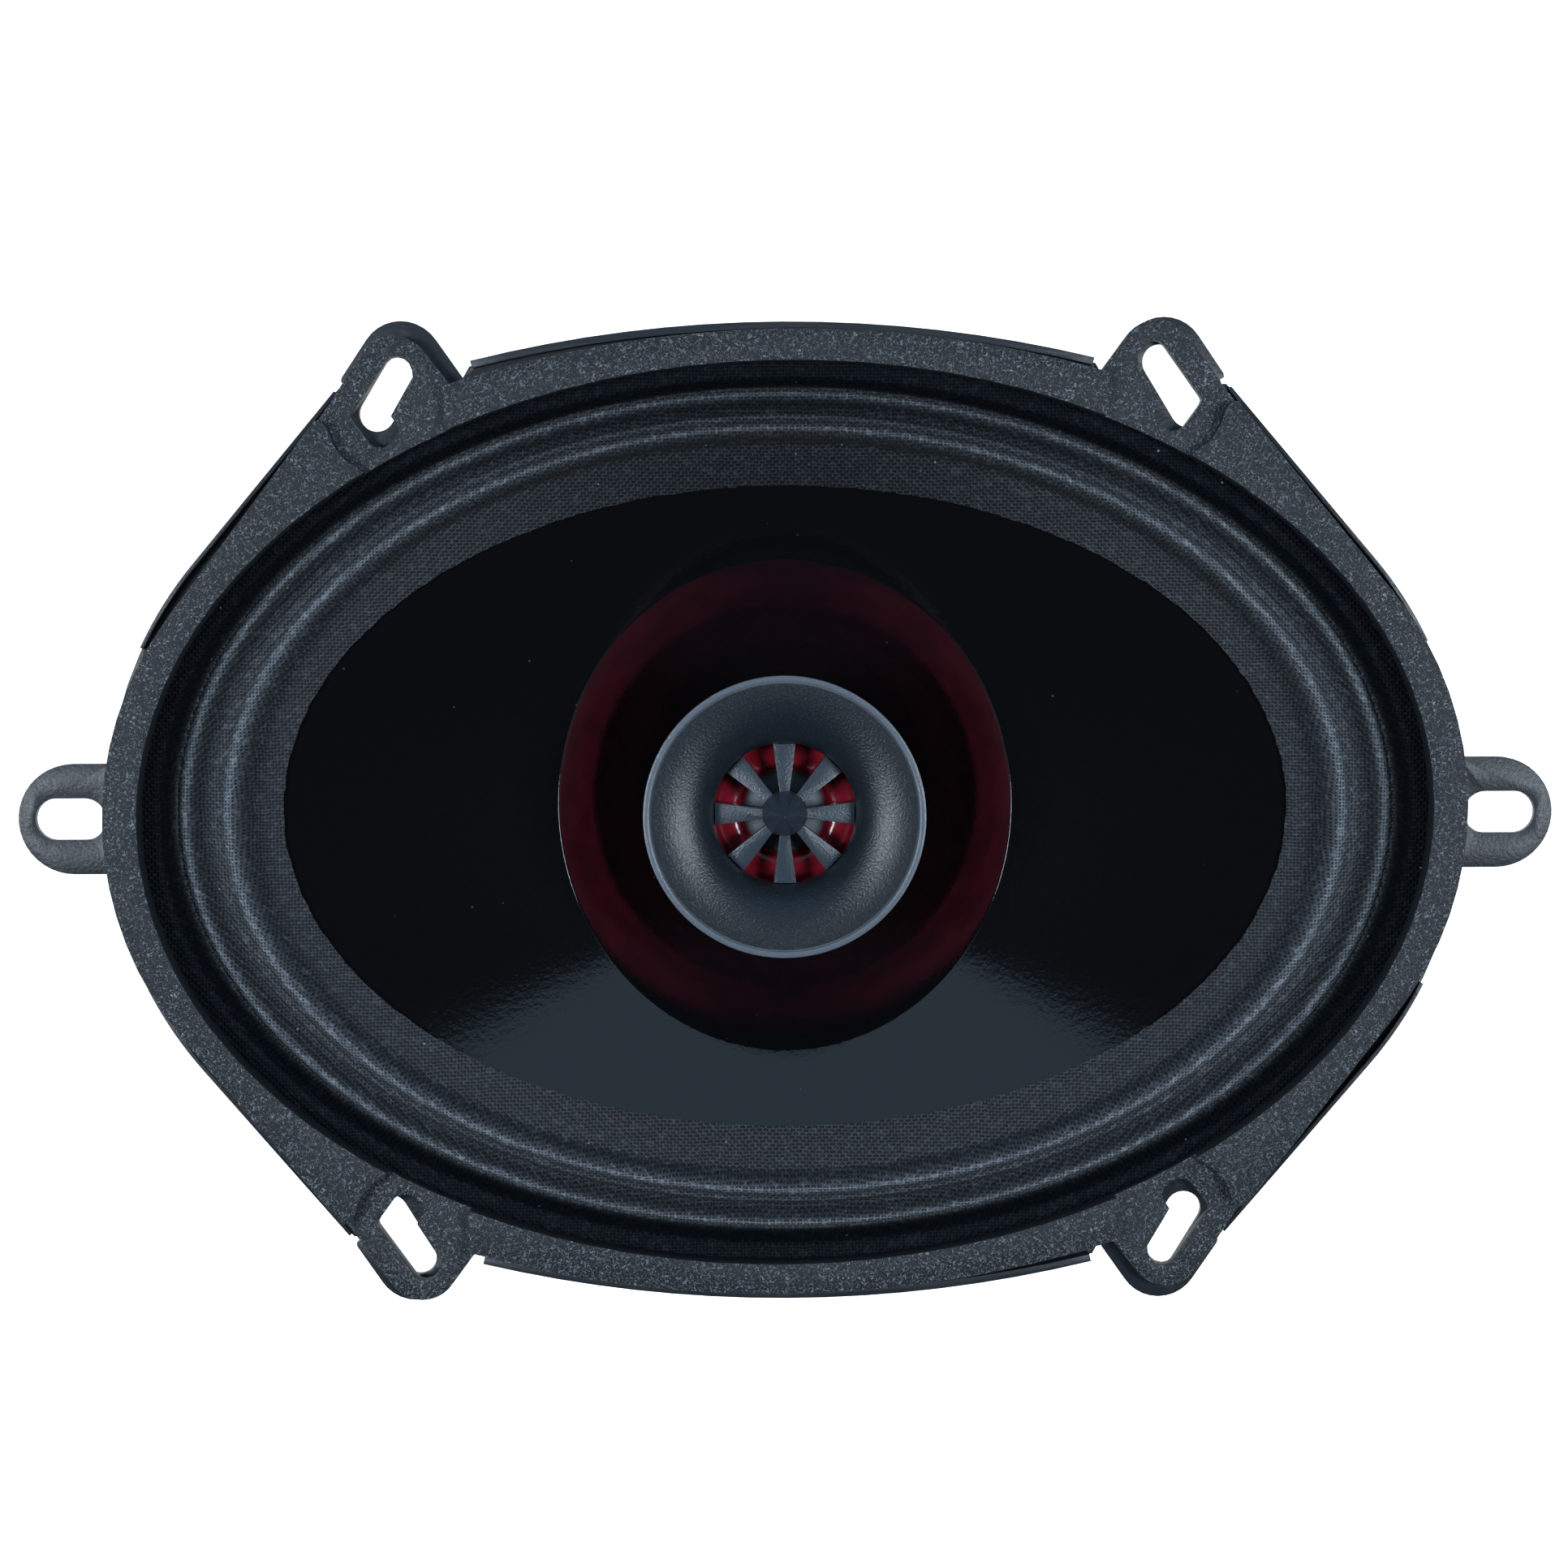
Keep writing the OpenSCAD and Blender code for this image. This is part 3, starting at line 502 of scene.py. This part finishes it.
def wound_wire(name, base, pitch):
    """Close wound wire: fine rounded turns one above the other."""
    made, tree, shader, place = new_material(name, base, 0.3, metallic=1.0)
    up = wire_up(tree, "ShaderNodeSeparateXYZ", {0: place}).outputs["Z"]
    turns = math_node(tree, "ABSOLUTE", math_node(
        tree, "SINE", math_node(tree, "MULTIPLY", up, math.pi / pitch)))
    # the grooves between the turns are painted darker, as painted shade
    tree.links.new(mix_colour(tree, turns, tuple(c * 0.25 for c in base), base),
                   shader.inputs["Base Color"])
    bump(tree, shader, turns, pitch * 0.4)
    return made


def plaited_wire(name, base):
    """Fine strands plaited round one another."""
    made, tree, shader, place = new_material(name, base, 0.35, metallic=1.0)
    weave = use_group(tree, WEAVE, Vector=place, Threads_per_metre=3400.0)
    # the gaps between strands are painted dark, as painted shade
    tree.links.new(mix_colour(tree, weave["Gap"], base, tuple(c * 0.15 for c in base)),
                   shader.inputs["Base Color"])
    bump(tree, shader, weave["Height"], 0.00012)
    return made


def woven_spider():
    made, tree, shader, place = new_material("Resin dipped weave", (0.5, 0.33, 0.13), 0.75)
    weave = use_group(tree, WEAVE, Vector=place, Threads_per_metre=1900.0)
    # the gaps between threads are painted dark brown, as painted shade
    tone = mix_colour(tree, weave["Gap"], (0.55, 0.37, 0.15), (0.16, 0.09, 0.03))
    tree.links.new(mix_colour(tree, weave["Slub"], tone, (0.62, 0.45, 0.2)),
                   shader.inputs["Base Color"])
    bump(tree, shader, weave["Height"], 0.00012)
    return made


M = {
    "moulding": grained_moulding(),
    "cloth": coated_cloth(),
    "cone_gloss": gloss_cone(),
    "steel_black": black_paint(),
    # The last colour is the painted highlight on the horn's lip; the plug passes its own base
    # colour, so it gets none
    "horn_satin": satin_horn("Satin grey horn", (0.009, 0.014, 0.02), (0.1, 0.12, 0.15)),
    "plug_satin": satin_horn("Satin grey plug", (0.03, 0.042, 0.057), (0.03, 0.042, 0.057)),
    "red_plastic": glossy_red(base=(0.85, 0.06, 0.15), roughness=0.3),
    "red_film": glossy_red("Red diaphragm film", (0.34, 0.012, 0.03), 0.14),
    "zinc_steel": bright_zinc(),
    "tinned_steel": bright_zinc("Bright tin plate", (0.68, 0.68, 0.65), 0.2),
    "ferrite": matt_speckle("Ground ferrite", (0.03, 0.03, 0.033), (0.07, 0.07, 0.075), 0.62),
    "neodymium": bright_zinc("Nickel plate", (0.6, 0.58, 0.54), 0.15),
    "former_paper": matt_speckle("Kraft paper", (0.33, 0.2, 0.09), (0.45, 0.3, 0.15), 0.8),
    "fibre_board": matt_speckle("Pressed fibre board", (0.2, 0.1, 0.035), (0.3, 0.17, 0.07), 0.7),
    "dome_cloth": matt_speckle("Doped dome cloth", (0.05, 0.062, 0.075), (0.11, 0.13, 0.15),
                               0.45, 3200.0),
    "copper": wound_wire("Copper winding", (0.72, 0.36, 0.18), 0.00035),
    "braid": plaited_wire("Copper braid", (0.72, 0.42, 0.24)),
    "brass_rivet": bright_zinc("Tubular brass", (0.72, 0.55, 0.25), 0.25),
    "capacitor_sleeve": matt_speckle("Heat shrunk sleeve", (0.012, 0.012, 0.014),
                                     (0.03, 0.03, 0.035), 0.3, 500.0),
    "red_sleeve": matt_speckle("Red wire sleeve", (0.35, 0.012, 0.018), (0.45, 0.03, 0.03), 0.4),
    "black_sleeve": matt_speckle("Black wire sleeve", (0.012, 0.012, 0.013),
                                 (0.03, 0.03, 0.03), 0.4),
    "spider_cloth": woven_spider(),
}


# ---------------------------------------------------------------- woofer
def oval_radius(half, x, y):
    """Distance from the axis to an oval in the direction of a point."""
    a = math.atan2(y, x)
    return half[0] * half[1] / math.hypot(half[1] * math.cos(a), half[0] * math.sin(a))


cone_knee = Vector((36.4 * mm, 39.5 * mm))   # half sizes of the oval where the slope changes
cone_steep = 0.7                             # rise per run inside the knee
knee_bend = 0.12 * mm                        # half width of the bend


def cone_height(x, y):
    """Front face of the cone: steep up to a soft knee, then flatter out to the oval edge."""
    r = math.hypot(x, y)
    knee_r = oval_radius(cone_knee, x, y)
    knee_z = neck_z + cone_steep * (knee_r - neck_r)
    shallow = (cone_edge_z - knee_z) / (oval_radius(cone_half, x, y) - knee_r)
    past = r - knee_r
    if abs(past) < knee_bend:
        past = (past + knee_bend) ** 2 / (4 * knee_bend)
    return neck_z + cone_steep * (r - neck_r) + (shallow - cone_steep) * max(0.0, past)


def between(low, high, t):
    return low + (high - low) * t


def build_cone():
    neck = Vector((neck_r + 0.1 * mm, neck_r + 0.1 * mm))
    step = Vector((1, 1)) * knee_bend
    rings = [(between(neck, cone_knee, k / 10), cone_height) for k in range(10)]
    rings += [(cone_knee + step * k, cone_height) for k in (-2, -1, 0, 1, 2)]
    rings += [(between(cone_knee, cone_half, (k / 20) ** 1.5), cone_height) for k in range(3, 21)]
    piece = oval_rings("cone_shell", rings)
    tidy_mesh(piece)
    apply_modifier(piece, "SOLIDIFY", thickness=cone_t, offset=-1 if up_facing(piece) else 1)
    smooth(piece, 60)
    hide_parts("cone")
    return finish_piece(piece, "moving_cone", M["cone_gloss"])


def up_facing(piece):
    return sum(p.normal.z for p in piece.data.polygons) > 0


# Rolls of the surround: inset from the glued rim along X and along Y, height, and how much painted
# highlight the point gets, high on the crests and low in the valleys as painted shade
roll_points = [(0, 0, 1.8, 0.01), (1.6, 1.5, 1.8, 0.01), (2.8, 2.6, 1.75, 0.01),
               (3.6, 3.4, 1.3, 0), (4.2, 3.9, -0.7, 0), (4.7, 4.2, -2.7, 0.05),
               (5.2, 4.5, -3.5, 0.2), (5.8, 4.9, -3.0, 0.75), (6.6, 5.4, -2.4, 0.9),
               (7.4, 6.1, -3.0, 0.3), (8.2, 6.9, -4.3, 0.1), (9.0, 7.6, -4.9, 0.08),
               (9.8, 8.2, -4.6, 0.14), (10.5, 8.6, -4.1, 0.25), (11.2, 9.1, -4.0, 0.25),
               (11.9, 9.6, -3.6, 0.35), (12.7, 10.2, -2.8, 0.9), (13.5, 10.8, -2.6, 1),
               (14.3, 11.4, -3.8, 0.7), (14.9, 12.0, -5.8, 0.35), (15.3, 12.4, -7.2, 0.25),
               (15.8, 12.9, -8.0, 0.14)]
cloth_inner = (20.6, 19.1)       # inset of the cut inner edge along X and along Y
cloth_steps = 320                # edges round each ring of the cloth
cloth_t = 0.45 * mm


def curve_through(points, per_span):
    """Points of a smooth curve through given ones."""
    out = []
    for i in range(len(points) - 1):
        a, b, c, d = (Vector(points[max(0, min(len(points) - 1, i + k))]) for k in (-1, 0, 1, 2))
        for j in range(per_span):
            t = j / per_span
            out.append(0.5 * (2 * b + (c - a) * t + (2 * a - 5 * b + 4 * c - d) * t * t
                              + (3 * b - a - 3 * c + d) * t ** 3))
    return out + [Vector(points[-1])]


def painted_roll_light_round(co):
    """Painted crest highlight is weaker on the long sides than at the ends, and weakest on the +Y
    side.
    """
    across = co.y * abs(co.y) / (co.x * co.x + co.y * co.y)
    return 1 - (0.6 * across if across > 0 else -0.2 * across)


def build_surround():
    lift_off = 0.62 * mm
    rings, painted_roll_lights = [], []
    for inset, inset_y, z, painted_roll_light in curve_through(roll_points, 3):
        rings.append(((rim_half.x - inset * mm, rim_half.y - inset_y * mm), z * mm))
        painted_roll_lights.append(painted_roll_light)
    for k in range(1, 9):
        inset, inset_y = (between(roll_points[-1][i], cloth_inner[i], k / 8) for i in (0, 1))
        rings.append(((rim_half.x - inset * mm, rim_half.y - inset_y * mm),
                      lambda x, y: cone_height(x, y) + lift_off))
        # the flat band on the cone gets a small even share of painted highlight
        painted_roll_lights.append(0.12)
    piece = oval_rings("surround_cloth", rings, count=cloth_steps)
    # per-point painted highlight on the crests and painted shade in the valleys, read by the
    # cloth's shader
    painted_roll_light = piece.data.attributes.new("painted_roll_light", "FLOAT", "POINT")
    painted_roll_light.data.foreach_set("value", [painted_roll_lights[v.index // cloth_steps] * painted_roll_light_round(v.co)
                                   for v in piece.data.vertices])
    # the cut inner edge is a little ragged where threads end
    edge = (rim_half.x - cloth_inner[0] * mm, rim_half.y - cloth_inner[1] * mm)
    for v in piece.data.vertices:
        r = math.hypot(v.co.x, v.co.y)
        if r < oval_radius(edge, v.co.x, v.co.y) + 0.05 * mm:
            fray = noise.noise(v.co * 900) * 0.22 * mm
            v.co.x *= 1 + fray / r
            v.co.y *= 1 + fray / r
    tidy_mesh(piece, merge=1e-7)
    apply_modifier(piece, "SOLIDIFY", thickness=cloth_t, offset=-1 if up_facing(piece) else 1)
    smooth(piece, 60)
    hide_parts("surround")
    finish_piece(piece, None, M["cloth"])
    return piece


def ease(t):
    """Turns smoothly from 0 to 1 as t does."""
    t = min(1.0, max(0.0, t))
    return t * t * (3 - 2 * t)


def radial_blend(piece, share):
    """Bakes the piece's place into its mesh and works out each point's share, which is not used."""
    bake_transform(piece)
    weights = [min(1.0, max(0.0, share(v.co))) for v in piece.data.vertices]
    return piece


build_cone()
surround = build_surround()


def surround_share(co):
    """0 at the glued rim, 1 on the cone."""
    inset = rim_half.x - math.hypot(co.x, co.y) * rim_half.x / oval_radius(rim_half, co.x, co.y)
    return ease((inset - 3.6 * mm) / (12.4 * mm))


radial_blend(surround, surround_share)





spider_waves = 5
spider_crest = 1.1               # millimetres, falling off towards the landing
spider_first, spider_last = 22.4, 45.0
spider_edge = 50.95
landing_z = -35.0
weave_t = 0.45


def build_spider():
    """Corrugated disc pressed from woven cloth, glued to the former and to the basket."""
    line = [(19.42, 0.98)]
    for k in range(81):
        u = k / 80
        wave = math.sin(2 * spider_waves * math.pi * u) * (1 - 0.3 * u)
        line.append((between(spider_first, spider_last, u), 1.0 + spider_crest * wave))
    line += [(46.0, 0.1), (spider_edge, 0.1)]
    wall = [(r, z + weave_t) for r, z in reversed(line)]
    outline = [(r * mm, (z + landing_z) * mm) for r, z in line + wall]
    piece = spin_profile("spider_weave", outline, steps=144)
    smooth(piece, 60)
    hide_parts("spider")
    return finish_piece(piece, None, M["spider_cloth"])


def spider_share(co):
    """1 at the coil former, 0 at the glued landing."""
    return 1 - ease((math.hypot(co.x, co.y) - 21.5 * mm) / (24 * mm))


spider = build_spider()
radial_blend(spider, spider_share)


# ---------------------------------------------------------------- leads
tab_x = 8                        # millimetres, as are the routes
braid_r = 0.58 * mm
sleeve_r = 0.73 * mm


def tube(name, route, radius):
    """A round wire along a smooth route, made a mesh."""
    path = [p * mm for p in curve_through(route, 4)]
    data = bpy.data.curves.new(name, "CURVE")
    data.dimensions = "3D"
    data.bevel_depth = radius
    data.bevel_resolution = 4
    data.use_fill_caps = True
    spline = data.splines.new("POLY")
    spline.points.add(len(path) - 1)
    for point, place in zip(spline.points, path):
        point.co = (*place, 1)
    piece = bpy.data.objects.new(name, data)
    bpy.context.scene.collection.objects.link(piece)
    make_active(piece)
    bpy.ops.object.convert(target="MESH")
    piece = bpy.context.active_object
    tidy_mesh(piece, merge=1e-7)
    smooth(piece, 50)
    return piece, [tuple(p) for p in path]


def build_tinsel_lead(side, node):
    x = tab_x * side
    piece, path = tube(node + "_braid", [
        (x, -31, -23.9), (x, -35, -27.6), (x, -40, -30.2), (x, -46, -30.4), (x, -52, -28),
        (x, -58, -28.6), (x, -60.6, -32.4), (x, -61, -36), (x, -60, -39.2), (x, -58.6, -40.6),
        (x, -57, -40.95)], braid_r)
    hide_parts(node)
    finish_piece(piece, None, M["braid"])
    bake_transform(piece)


def build_tweeter_lead(side, node, slot):
    piece, path = tube(node + "_sleeve", [
        (1.05 * side, 0, -15.7), (1.05 * side, 0, -40), (1.05 * side, 0, -68.6),
        (1.05 * side, -0.8, -70.7), (1.05 * side, -3, -71.6), (1.05 * side, -20, -71.6),
        (1.05 * side, -39, -71.6), (1.2 * side, -44, -71), (1.6 * side, -47.4, -67.6),
        (2.4 * side, -48.6, -60), (5 * side, -52, -52), (tab_x * side, -60, -49),
        (tab_x * side, -64.5, -46.6), (tab_x * side, -64.8, -43.3)], sleeve_r)
    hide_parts(node)
    finish_piece(piece, "frame", M[slot])


for side, end in ((1, "positive"), (-1, "negative")):
    build_tinsel_lead(side, "tinsel_lead_" + end)
build_tweeter_lead(1, "tweeter_lead_positive", "red_sleeve")
build_tweeter_lead(-1, "tweeter_lead_negative", "black_sleeve")


# ---------------------------------------------------------------- tweeter dome and film
film_t = 0.25 * mm
film_seat = 0.3 * mm             # height of the film's upper face over the underside of its solid
roll_mid, roll_half = 9.4 * mm, 2.5 * mm
film_r = 12.8 * mm
dome_rise = 1.5 * mm


def build_dome():
    base = dome_lo.z + film_seat
    arch = [(dome_hi.x * math.sin(math.radians(5 * k)),
             base + dome_rise * math.cos(math.radians(5 * k))) for k in range(19)]
    piece = spin_profile("dome_cap", arch + [(r, z - film_t) for r, z in reversed(arch)], steps=96)
    smooth(piece, 60)
    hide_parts("tweeter_dome")
    return finish_piece(piece, "tweeter_moving", M["dome_cloth"])


def build_film():
    base = film_lo.z + film_seat
    roll = [(roll_mid - roll_half * math.cos(math.pi * k / 24),
             base + math.sin(math.pi * k / 24) * mm) for k in range(25)]
    line = [(dome_hi.x, base)] + roll + [(film_r, base)]
    piece = spin_profile("film_ring", line + [(r, z - film_t) for r, z in reversed(line)],
                         steps=128)
    smooth(piece, 60)
    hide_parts("tweeter_diaphragm")
    return finish_piece(piece, "tweeter_moving", M["red_film"])


build_dome()
build_film()


# ---------------------------------------------------------------- horn and phase plug
throat_r = 11 * mm
horn_lip = 1.0 * mm
horn_r = horn_hi.x
horn_z = horn_hi.z
throat_z = horn_z - 6.5 * mm
skirt_z = horn_lo.z
skirt_r = 20.2 * mm
bore_r = 18.8 * mm
seat_z = throat_z - 1.6 * mm


def build_horn():
    inner = horn_r - horn_lip
    flare = []
    for k in range(33):
        a = math.radians(90 * k / 32)
        flare.append((throat_r + (inner - throat_r) * (1 - math.cos(a)),
                      throat_z + (horn_z - throat_z - 0.4 * mm) * math.sin(a)))
    outline = flare + [
        (inner + 0.05 * mm, horn_z - 0.1 * mm), (inner + 0.2 * mm, horn_z),
        (horn_r - 0.25 * mm, horn_z), (horn_r - 0.05 * mm, horn_z - 0.08 * mm),
        (horn_r, horn_z - 0.3 * mm), (horn_r, horn_z - 1.0 * mm),
        (horn_r - 0.2 * mm, horn_z - 1.3 * mm), (20.5 * mm, horn_z - 2.3 * mm),
        (20.4 * mm, horn_z - 3 * mm), (skirt_r, skirt_z + 0.2 * mm),
        (20.0 * mm, skirt_z), (bore_r, skirt_z), (bore_r, seat_z), (throat_r, seat_z)]
    piece = spin_profile("horn_flare", outline, steps=160)
    smooth(piece, 40)
    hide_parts("horn")
    return finish_piece(piece, "frame", M["horn_satin"])


build_horn()

# Hard parts keep their solids, with edges broken by the given millimetres
for node, bevel in (("basket", 0.18), ("trim_ring", 0.3), ("top_plate", 0.4), ("magnet", 0.8),
                    ("back_yoke", 0.5), ("phase_plug", 0.12), ("tweeter_housing", 0.3),
                    ("tweeter_post", 0.15), ("post_nut", 0.25), ("post_washer", 0.1),
                    ("basket_rivets", 0.3), ("terminal_board", 0.1),
                    ("terminal_tab_positive", 0.12), ("terminal_tab_negative", 0.12),
                    ("terminal_rivets", 0.2), ("crossover_capacitor", 0.5)):
    slot_name = next(s["material_slot"] for s in frame["record"]["subparts"] if s["node"] == node)
    material = M["plug_satin" if node == "phase_plug" else slot_name]
    finish_piece(dress(node, bevel * mm), "frame", material)

# The rest of the nodes are shown as they are, in their own finishes
for subpart in frame["record"]["subparts"]:
    kept = nodes[subpart["node"]]
    if not kept.hide_render:
        kept.data.materials.clear()
        kept.data.materials.append(M[subpart["material_slot"]])
        smooth(kept, 32)


# ---------------------------------------------------------------- floor, light and camera
def build_floor():
    piece = new_piece("floor", bpy.ops.mesh.primitive_plane_add, size=6,
                      location=(0, 0, floor_z - 0.0002))
    settle(piece)
    made = bpy.data.materials.new("Pale floor")
    made.use_nodes = True
    shader = made.node_tree.nodes["Principled BSDF"]
    shader.inputs["Base Color"].default_value = (0.8, 0.8, 0.8, 1)
    shader.inputs["Roughness"].default_value = 0.9
    shader.inputs["Emission Color"].default_value = (1, 1, 1, 1)
    shader.inputs["Emission Strength"].default_value = 1.0
    piece.data.materials.append(made)


def soft_light(name, place, aim, size, power, colour=(0.82, 0.92, 1.0)):
    data = bpy.data.lights.new(name, "AREA")
    data.shape = "RECTANGLE"
    data.size, data.size_y = size
    data.energy = power
    data.color = colour
    light = bpy.data.objects.new(name, data)
    bpy.context.scene.collection.objects.link(light)
    light.location = place
    light.rotation_mode = "QUATERNION"
    light.rotation_quaternion = (Vector(aim) - Vector(place)).to_track_quat("-Z", "Y")


def build_camera():
    away = 0.4
    tilt, turn, roll = math.radians(4.45), math.radians(0.1), math.radians(0.31)
    back = Vector((math.sin(turn) * math.cos(tilt), math.sin(tilt),
                   math.cos(turn) * math.cos(tilt)))
    right = Vector((math.cos(turn), 0, -math.sin(turn)))
    up = back.cross(right)
    side = right * math.cos(roll) - up * math.sin(roll)
    top = right * math.sin(roll) + up * math.cos(roll)
    data = bpy.data.cameras.new("camera")
    data.lens = 59.74
    data.sensor_width = 36
    data.clip_start = 0.01
    data.clip_end = 20
    camera = bpy.data.objects.new("camera", data)
    bpy.context.scene.collection.objects.link(camera)
    where = Vector((-0.00008, 0.00477, 0)) + back * away
    camera.matrix_world = Matrix((
        (side.x, top.x, back.x, where.x),
        (side.y, top.y, back.y, where.y),
        (side.z, top.z, back.z, where.z),
        (0, 0, 0, 1)))
    bpy.context.scene.camera = camera


build_floor()
build_camera()
soft_light("back_light", (0, 0.8, 0.85), (0, 0, 0), (1.35, 1.15), 2.3, (0.52, 0.74, 1.0))
soft_light("left_light", (-0.5, 0, 0.66), (0, 0, 0), (0.25, 0.25), 4.6)
soft_light("right_light", (0.5, 0, 0.66), (0, 0, 0), (0.25, 0.25), 4.6)
world = bpy.data.worlds.new("studio")
bpy.context.scene.world = world
world.use_nodes = True
world.node_tree.nodes["Background"].inputs["Color"].default_value = (0.4, 0.5, 0.6, 1)
world.node_tree.nodes["Background"].inputs["Strength"].default_value = 0.035
bpy.context.scene.view_settings.view_transform = "Standard"
